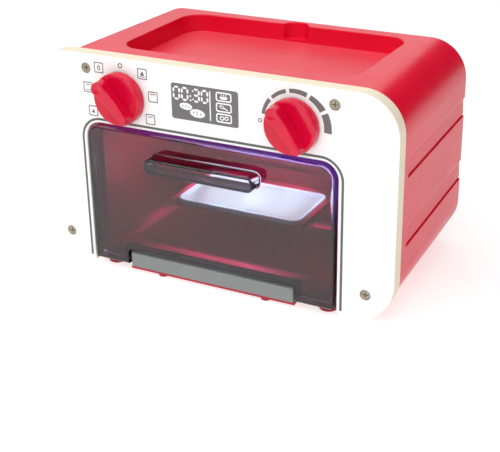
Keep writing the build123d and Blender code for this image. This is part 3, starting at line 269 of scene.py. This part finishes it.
def painted_plywood():
    """White satin paint on the two faces, bare sanded plies on every cut edge."""
    n = Nodes("painted_plywood")
    pos = n.xyz("Object")
    nor = n.xyz("Normal")
    facing = n.math("ABSOLUTE", nor[1])
    # paint only on the outer faces, not at the bottom of the screw recesses
    front = n.math("LESS_THAN", pos[1], (PANEL_Y + 0.45) * MM)
    back = n.math("GREATER_THAN", pos[1], (PANEL_Y + 12.05) * MM)
    where = n.math("ADD", front, back, clamp=True)
    paint = n.math("MULTIPLY", n.remap(facing, 0.55, 0.75, 0, 1), where)
    # plies run across the thickness
    wob = n.remap(n.noise(22.0, 2.0, 0.5), 0.3, 0.7, -0.35, 0.35)
    ply = n.math("MULTIPLY", n.math("SUBTRACT", pos[1], PANEL_Y * MM), 9.0 / 0.0125)
    ply = n.math("SINE", n.math("MULTIPLY", n.math("ADD", ply, wob), math.pi))
    streak = n.noise(170.0, 5.0, 0.65, stretch=(1.0, 9.0, 1.0), w=1.0)
    pore = n.noise(900.0, 3.0, 0.6, stretch=(1.0, 3.0, 1.0), w=2.0)
    wood = n.mix(n.remap(ply, -1, 1, 0, 1), (0.88, 0.76, 0.57), (0.96, 0.88, 0.73))
    wood = n.mix(n.remap(streak, 0.35, 0.8, 0, 0.35), wood, (0.74, 0.58, 0.39))
    wood = n.mix(n.remap(pore, 0.6, 0.8, 0, 0.35), wood, (0.55, 0.38, 0.22))
    roll = n.noise(420.0, 3.0, 0.5, w=3.0)
    cloud = n.noise(9.0, 2.0, 0.5, w=4.0)
    white = n.mix(n.remap(cloud, 0.3, 0.7, 0, 1), (0.925, 0.925, 0.92), (0.95, 0.95, 0.945))
    n.set(Base_Color=n.mix(paint, wood, white))
    n.set(Roughness=n.math("ADD", n.math("MULTIPLY", paint, -0.2), n.remap(roll, 0.3, 0.7, 0.56, 0.66)))
    nrm = n.bump(roll, 0.12, 0.00003)
    nrm = n.bump(n.math("MULTIPLY", n.math("ADD", streak, pore), n.math("SUBTRACT", 1.0, paint)), 0.35, 0.00008, nrm)
    n.set(Normal=nrm)
    return n.mat


MAT["painted_plywood"] = painted_plywood()


def tinted_door():
    n = Nodes("door_tint")
    flow = n.noise(11.0, 2.0, 0.5)
    wipe = n.noise(45.0, 5.0, 0.65, stretch=(1.0, 1.0, 0.3), w=2.0)
    clear = n.mix(n.remap(flow, 0.3, 0.7, 0, 1), (0.80, 0.77, 0.82), (0.84, 0.81, 0.86))
    # painted glow: outer surfaces of the rim and handle that face up or right get an emission and a purple base tint,
    # standing in for light gathering in the thick tinted edges
    pos = n.xyz("Object")
    up = n.xyz("Normal")[2]
    side = n.xyz("Normal")[0]
    rim = n.remap(n.math("MAXIMUM", up, n.math("MULTIPLY", side, 0.8)), 0.10, 0.62, 0, 1)
    outer = n.math("MAXIMUM", n.math("GREATER_THAN", pos[2], 0.1195), n.math("GREATER_THAN", pos[0], 0.1095))
    outer = n.math("MULTIPLY", outer, n.remap(pos[2], 0.075, 0.125, 0.0, 1.0))
    edge = n.math("MULTIPLY", rim, outer)
    # the painted glow's colour shifts from dark red at the left through magenta to blue-violet at the right
    hue = n.mix(n.remap(pos[0], -0.112, -0.050, 0, 1), (0.13, 0.003, 0.022), (0.075, 0.007, 0.095))
    hue = n.mix(n.remap(pos[0], -0.050, 0.050, 0, 1), hue, (0.052, 0.009, 0.135))
    # painted tint: up-facing outer surfaces have their base colour mixed towards purple
    shade = n.math("MULTIPLY", n.remap(n.math("MAXIMUM", up, n.math("MULTIPLY", side, 0.8)), 0.02, 0.25, 0, 1), outer)
    n.set(Base_Color=n.mix(shade, clear, (0.16, 0.05, 0.24)), Emission_Color=hue, Emission_Strength=edge)
    n.set(Roughness=n.remap(wipe, 0.4, 0.75, 0.02, 0.07), Transmission_Weight=1.0, IOR=1.57)
    n.set(Normal=n.bump(flow, 0.05, 0.0004))
    depth = n.t.nodes.new("ShaderNodeVolumeAbsorption")
    depth.inputs["Color"].default_value = (0.42, 0.38, 0.48, 1.0)
    depth.inputs["Density"].default_value = 600.0
    n.link(depth.outputs["Volume"], n.out.inputs["Volume"])
    return n.mat


MAT["door_tint"] = tinted_door()


def printed(name, color):
    n = Nodes(name)
    dots = n.noise(2200.0, 2.0, 0.5)
    cloud = n.noise(90.0, 3.0, 0.5, w=1.0)
    c2 = tuple(min(1.0, c * 1.06 + 0.004) for c in color)
    n.set(Base_Color=n.mix(n.remap(cloud, 0.35, 0.65, 0, 1), color, c2))
    n.set(Roughness=n.remap(dots, 0.3, 0.7, 0.4, 0.55), Normal=n.bump(dots, 0.15, 0.00001))
    return n.mat


PRINT_GREY = printed("print_grey", (0.105, 0.105, 0.103))
PRINT_LIGHT = printed("print_light", (0.145, 0.138, 0.14))
PRINT_WHITE = printed("print_white", (0.90, 0.90, 0.90))

for sub in frame["record"]["subparts"]:
    o = NODES[sub["node"]]
    mat = MAT[sub["material_slot"]]
    if not o.material_slots:
        o.data.materials.append(mat)
    for s in o.material_slots:
        s.material = mat

# ---------------------------------------------------------------------------
# printed graphics: thin films of ink on the panel's face
# ---------------------------------------------------------------------------
INK = 0.05


class Ink:
    """Flat shapes lying on the front of the panel, in millimetres (x, height)."""

    def __init__(self, name, mat, lift=0.0):
        self.name, self.mat, self.lift = name, mat, lift
        self.bm = bmesh.new()

    def v(self, x, z, y):
        return self.bm.verts.new(P(x, y, z))

    def plate(self, pts):
        y0, y1 = -(INK + self.lift), 0.03
        a = [self.v(x, z, y0) for x, z in pts]
        b = [self.v(x, z, y1) for x, z in pts]
        self.bm.faces.new(a)
        self.bm.faces.new(list(reversed(b)))
        n = len(pts)
        for i in range(n):
            j = (i + 1) % n
            self.bm.faces.new((a[j], a[i], b[i], b[j]))

    def band(self, outer, inner, closed=True):
        y0, y1 = -(INK + self.lift), 0.03
        oa = [self.v(x, z, y0) for x, z in outer]
        ia = [self.v(x, z, y0) for x, z in inner]
        ob = [self.v(x, z, y1) for x, z in outer]
        ib = [self.v(x, z, y1) for x, z in inner]
        n = len(outer)
        for i in range(n if closed else n - 1):
            j = (i + 1) % n
            self.bm.faces.new((oa[i], oa[j], ia[j], ia[i]))
            self.bm.faces.new((ob[j], ob[i], ib[i], ib[j]))
            self.bm.faces.new((oa[j], oa[i], ob[i], ob[j]))
            self.bm.faces.new((ia[i], ia[j], ib[j], ib[i]))
        if not closed:
            for k in (0, n - 1):
                f = (oa[k], ia[k], ib[k], ob[k])
                self.bm.faces.new(f if k == 0 else tuple(reversed(f)))

    def stroke(self, pts, width, closed=False):
        """A line of one width through the points."""
        n = len(pts)
        outer, inner = [], []
        for i in range(n):
            p = Vector(pts[i])
            a = Vector(pts[i - 1]) if (i > 0 or closed) else None
            b = Vector(pts[(i + 1) % n]) if (i < n - 1 or closed) else None
            d1 = (p - a).normalized() if a is not None else None
            d2 = (b - p).normalized() if b is not None else None
            if d1 is None:
                d1 = d2
            if d2 is None:
                d2 = d1
            t = (d1 + d2).normalized()
            m = Vector((-t.y, t.x))
            k = width / 2 / max(0.5, m.dot(Vector((-d1.y, d1.x))))
            outer.append(tuple(p + m * k))
            inner.append(tuple(p - m * k))
        self.band(outer, inner, closed)

    def done(self, body="housing"):
        bmesh.ops.recalc_face_normals(self.bm, faces=self.bm.faces)
        me = bpy.data.meshes.new(self.name)
        self.bm.to_mesh(me)
        self.bm.free()
        o = bpy.data.objects.new(self.name, me)
        bpy.context.scene.collection.objects.link(o)
        me.materials.append(self.mat)
        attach(o, body)
        return o


def arc(cx, cz, r, a0, a1, n=12, rz=None):
    rz = r if rz is None else rz
    return [
        (cx + r * math.cos(math.radians(a0 + (a1 - a0) * i / n)), cz + rz * math.sin(math.radians(a0 + (a1 - a0) * i / n)))
        for i in range(n + 1)
    ]


def rrect(cx, cz, w, h, r, n=6):
    x, z = w / 2 - r, h / 2 - r
    pts = []
    for sx, sz, a in ((1, 1, 0), (-1, 1, 90), (-1, -1, 180), (1, -1, 270)):
        pts += arc(cx + sx * x, cz + sz * z, r, a, a + 90, n)
    return pts


def oval(cx, cz, rx, rz, n=28, tilt=0.0):
    c, s = math.cos(math.radians(tilt)), math.sin(math.radians(tilt))
    out = []
    for i in range(n):
        a = 2 * math.pi * i / n
        x, z = rx * math.cos(a), rz * math.sin(a)
        out.append((cx + x * c - z * s, cz + x * s + z * c))
    return out


# line round the door
line = Ink("print_door_line", PRINT_GREY)
LX, LZ, LR, LW = 120.16, 134.9, 18.6, 2.05
path = [(-LX, 5.2)]
path += [(-LX, z) for z in (30, 60, 90)]
left = [(-x, z) for x, z in arc(LX - LR, LZ - LR, LR, 0, 90, 18)]
right = [(x, z) for x, z in reversed(arc(LX - LR, LZ - LR, LR, 0, 90, 18))]
path += left + right + [(LX, z) for z in (90, 60, 30)] + [(LX, 5.2)]
line.stroke(path, LW)
line.done()

# dial on the left: outlined squares with small cooking signs
KX, KZ = 78.45, 157.2
dial = Ink("print_mode_dial", PRINT_GREY)
dial.band(oval(-78.3, 184.4, 2.2, 2.2, 24), oval(-78.3, 184.4, 1.35, 1.35, 24))
SQUARES = [(-99.5, 180.1), (-57.3, 180.0), (-48.0, 161.8), (-51.5, 142.1), (-111.5, 161.8), (-107.8, 141.6)]
for k, (x, z) in enumerate(SQUARES):
    dial.band(rrect(x, z, 9.1, 9.1, 1.0, 4), rrect(x, z, 7.5, 7.5, 0.6, 4))
    if k == 0:      # fan
        dial.band(oval(x, z - 0.4, 1.7, 1.7, 18), oval(x, z - 0.4, 1.0, 1.0, 18))
        dial.plate([(x - 0.8, z + 1.5), (x + 0.8, z + 1.5), (x, z + 2.7)])
    elif k == 1:    # lower heat and flame
        dial.plate([(x - 1.9, z - 1.4), (x + 1.9, z - 1.4), (x + 0.5, z + 1.9), (x - 0.5, z + 1.9)])
        dial.stroke([(x - 2.6, z - 2.4), (x + 2.6, z - 2.4)], 0.6)
    elif k == 2:    # upper heat
        dial.stroke([(x - 2.6, z + 2.2), (x + 2.6, z + 2.2)], 0.8)
    elif k == 3:    # grill
        dial.stroke([(x - 2.4, z + 2.6), (x - 1.2, z + 1.7), (x, z + 2.6), (x + 1.2, z + 1.7), (x + 2.4, z + 2.6)], 0.6)
    elif k == 4:    # upper and lower heat
        dial.stroke([(x - 2.6, z + 2.3), (x + 2.6, z + 2.3)], 0.6)
        dial.stroke([(x - 2.6, z - 2.3), (x + 2.6, z - 2.3)], 0.6)
    else:           # defrost drop
        dial.plate([(x - 1.8, z - 1.6), (x + 1.8, z - 1.6), (x, z + 1.6)])
dial.done()

# dial on the right: growing arcs
arcs = Ink("print_timer_dial", PRINT_LIGHT)
ARCS = [(168.6, 139.4, 28.2, 28.8), (133.5, 104.5, 28.3, 28.8), (98.2, 67.0, 28.8, 29.5), (61.0, 31.0, 29.5, 31.2), (25.7, -5.0, 31.5, 31.9)]
for a0, a1, r0, r1 in ARCS:
    n = 14
    outer = []
    inner = []
    for i in range(n + 1):
        t = i / n
        a = math.radians(a0 + (a1 - a0) * t)
        r = r0 + (r1 - r0) * t
        outer.append((KX + r * math.cos(a), KZ + r * math.sin(a)))
        inner.append((KX + 25.5 * math.cos(a), KZ + 25.5 * math.sin(a)))
    arcs.band(outer, inner, closed=False)
arcs.band(oval(KX - 29.0, KZ - 0.4, 1.75, 1.75, 20), oval(KX - 29.0, KZ - 0.4, 1.0, 1.0, 20))
arcs.done()

# clock panel
plate = Ink("print_clock_panel", PRINT_LIGHT)
plate.plate(rrect(0, 161.95, 61.0, 29.9, 2.2, 6))
plate.done()

U0, V0 = -30.5, 176.9


def uv(u, v):
    return (U0 + u, V0 - v)


def bean(cx, cz, length, width, horizontal, lean=0.0):
    """Segment of a digit: a lens with blunt ends."""
    pts = []
    n = 7
    for i in range(n + 1):
        t = -1 + 2 * i / n
        pts.append((t * length / 2, width / 2 * (1 - abs(t) ** 3.2) ** 0.5 if abs(t) < 1 else 0.0))
    low = [(x, -z) for x, z in reversed(pts[1:-1])]
    out = []
    for x, z in pts + low:
        if not horizontal:
            x, z = -z, x
        out.append((cx + x + lean * z, cz + z))
    return out


white = Ink("print_clock_signs", PRINT_WHITE, lift=0.05)
SEG = {"0": "abcdef", "3": "abcdg"}
for ch, cu in (("0", 4.9), ("0", 12.6), ("3", 23.0), ("0", 30.8)):
    for s in SEG[ch]:
        du, v, hor = {
            "a": (0.0, 3.15, True),
            "b": (2.6, 5.7, False),
            "c": (2.6, 10.5, False),
            "d": (0.0, 13.05, True),
            "e": (-2.6, 10.5, False),
            "f": (-2.6, 5.7, False),
            "g": (0.0, 8.1, True),
        }[s]
        x, z = uv(cu + du, v)
        white.plate(bean(x, z, 3.9 if hor else 3.9, 1.75, hor))
for u, v in ((17.85, 9.2), (17.9, 12.7)):
    white.plate(oval(*uv(u, v), 0.8, 0.8, 14))
for u, v in ((20.15, 4.8), (20.2, 11.6)):
    white.plate(oval(*uv(u, v), 0.72, 0.72, 14))
white.plate(rrect(*uv(35.65, 15.1), 1.1, 24.8, 0.5, 3))
white.plate(oval(*uv(13.3, 18.4), 5.8, 2.9, 30, tilt=-3))
white.plate(oval(*uv(23.8, 23.0), 6.9, 3.5, 30, tilt=-3))
for v in (6.05, 14.85, 23.6):
    x, z = uv(48.0, v)
    white.band(rrect(x, z, 14.2, 7.7, 1.9, 5), rrect(x, z, 11.9, 5.4, 1.0, 5))
# bowl with steam
x, z = uv(48.0, 6.05)
white.plate([(x - 3.6, z - 0.3), (x - 2.4, z - 2.0), (x + 2.4, z - 2.0), (x + 3.6, z - 0.3), (x + 3.0, z + 0.35), (x - 3.0, z + 0.35)])
for dx in (-1.7, 0.0, 1.7):
    white.stroke([(x + dx * 0.9, z + 0.75), (x + dx * 1.35, z + 2.1)], 0.6)
# spoon
x, z = uv(48.0, 14.85)
white.band(oval(x - 1.8, z + 0.5, 2.3, 1.35, 22, tilt=-20), oval(x - 1.8, z + 0.5, 1.5, 0.65, 22, tilt=-20))
white.stroke([(x + 0.2, z - 0.2), (x + 3.6, z - 1.8)], 0.9)
# two biscuits
x, z = uv(48.0, 23.6)
white.band(oval(x - 1.8, z - 0.1, 2.1, 1.9, 22), oval(x - 1.8, z - 0.1, 1.2, 1.05, 22))
white.band(oval(x + 2.3, z + 0.2, 1.9, 1.8, 22), oval(x + 2.3, z + 0.2, 1.0, 0.95, 22))
white.done()

chips = Ink("print_clock_chips", PRINT_GREY, lift=0.1)
for u, v, r in ((10.6, 18.0, 0.55), (13.4, 17.7, 0.45), (13.2, 19.0, 0.45), (16.0, 18.8, 0.55), (20.4, 22.5, 0.65), (23.7, 22.0, 0.6), (23.4, 23.9, 0.55), (26.9, 23.4, 0.65)):
    chips.plate(oval(*uv(u, v), r, r, 12))
chips.done()

# ---------------------------------------------------------------------------
# light in the chamber: what the three diodes and the lens send down
# ---------------------------------------------------------------------------
for k, lean in ((-1, -14.0), (0, 0.0), (1, 10.0)):
    glow = bpy.data.lights.new("chamber_glow_%d" % (k + 2), "AREA")
    glow.shape = "RECTANGLE"
    glow.size = 0.010
    glow.size_y = 0.018
    glow.energy = 0.58
    glow.spread = math.radians(60.0)
    glow.color = (0.68, 0.95, 0.90)
    g = bpy.data.objects.new(glow.name, glow)
    bpy.context.scene.collection.objects.link(g)
    g.location = P(7.0 * k, 80, 124.9)
    g.rotation_euler = (math.radians(3.0), math.radians(-lean), 0.0)

# light thrown back by the tray and the red walls
for name, at, lean, w, h, power, hue, wide in (
    ("tray_bounce", (12, 60, 66), (150.0, 0.0, 0.0), 0.10, 0.045, 0.12, (0.16, 0.10, 1.0), 180.0),
    ("wall_bounce", (-35, 25, 96), (0.0, 96.0, -22.0), 0.03, 0.04, 0.024, (1.0, 0.6, 0.6), 120.0),
):
    soft = bpy.data.lights.new(name, "AREA")
    soft.shape = "RECTANGLE"
    soft.size, soft.size_y = w, h
    soft.energy = power
    soft.color = hue
    soft.spread = math.radians(wide)
    b = bpy.data.objects.new(name, soft)
    bpy.context.scene.collection.objects.link(b)
    b.location = P(*at)
    b.rotation_euler = [math.radians(a) for a in lean]
    b.visible_camera = b.visible_glossy = b.visible_transmission = False

# ---------------------------------------------------------------------------
# studio
# ---------------------------------------------------------------------------
scene = bpy.context.scene
scene.view_settings.view_transform = "Standard"
scene.view_settings.look = "None"

world = bpy.data.worlds.new("studio")
scene.world = world
world.use_nodes = True
bg = world.node_tree.nodes["Background"]
bg.inputs["Color"].default_value = (1.0, 1.0, 1.0, 1.0)
wt = world.node_tree
sky = wt.nodes.new("ShaderNodeTexCoord")
dot = wt.nodes.new("ShaderNodeVectorMath")
dot.operation = "DOT_PRODUCT"
dot.inputs[1].default_value = (0.417, 0.803, 0.425)
wt.links.new(sky.outputs["Generated"], dot.inputs[0])
dim = wt.nodes.new("ShaderNodeMapRange")
dim.interpolation_type = "SMOOTHSTEP"
dim.inputs["From Min"].default_value = 0.72
dim.inputs["From Max"].default_value = 0.93
dim.inputs["To Min"].default_value = 0.30
dim.inputs["To Max"].default_value = 0.03
wt.links.new(dot.outputs["Value"], dim.inputs["Value"])
wt.links.new(dim.outputs["Result"], bg.inputs["Strength"])


def softbox(name, at, target, w, h, energy, color=(1, 1, 1)):
    d = bpy.data.lights.new(name, "AREA")
    d.shape = "RECTANGLE"
    d.size, d.size_y = w, h
    d.energy = energy
    d.color = color
    o = bpy.data.objects.new(name, d)
    scene.collection.objects.link(o)
    o.location = at
    o.rotation_euler = (Vector(target) - Vector(at)).to_track_quat("-Z", "Y").to_euler()
    return o


softbox("softbox_top", (-0.1, 0.1, 1.7), (0, 0, 0.1), 1.8, 1.5, 12.0)
softbox("softbox_front", (0.60, -1.50, 1.6), (0, 0, 0.1), 2.2, 0.34, 20.0)
softbox("softbox_left", (-0.95, -0.9, 1.65), (0, 0, 0.1), 1.0, 1.0, 8.0)
softbox("softbox_back", (-1.25, 2.1, 1.35), (0, 0, 0.1), 2.2, 1.8, 10.0)

bm = bmesh.new()
bmesh.ops.create_grid(bm, x_segments=24, y_segments=24, size=6.0)
me = bpy.data.meshes.new("floor")
bm.to_mesh(me)
bm.free()
floor = bpy.data.objects.new("floor", me)
scene.collection.objects.link(floor)
fn = Nodes("floor_paper")
fn.set(Base_Color=fn.mix(fn.noise(30.0), (0.49, 0.49, 0.49), (0.51, 0.51, 0.51)), Roughness=fn.remap(fn.noise(500.0), 0.3, 0.7, 0.75, 0.9))
# the sweep is lit evenly from below, more in front of the object than behind it
fn.set(Emission_Color=(1, 1, 1), Emission_Strength=fn.remap(fn.xyz("Object")[1], -0.14, 0.04, 0.82, 0.62))
me.materials.append(fn.mat)

# camera where the photograph was taken from
YAW, PITCH, ROLL = math.radians(27.954), math.radians(24.680), math.radians(-0.925)
fwd = Vector((-math.sin(YAW) * math.cos(PITCH), math.cos(YAW) * math.cos(PITCH), -math.sin(PITCH)))
rgt = Vector((math.cos(YAW), math.sin(YAW), 0.0))
up = rgt.cross(fwd)
r2 = rgt * math.cos(ROLL) + up * math.sin(ROLL)
u2 = up * math.cos(ROLL) - rgt * math.sin(ROLL)
cam_data = bpy.data.cameras.new("camera")
cam = bpy.data.objects.new("camera", cam_data)
scene.collection.objects.link(cam)
m = Matrix((r2, u2, -fwd)).transposed().to_4x4()
m.translation = P(439.95, -755.32, 457.22)
cam.matrix_world = m
cam_data.sensor_fit = "HORIZONTAL"
cam_data.sensor_width = 36.0
cam_data.lens = 1156.67 / 500.0 * 36.0
cam_data.clip_start = 0.01
scene.camera = cam
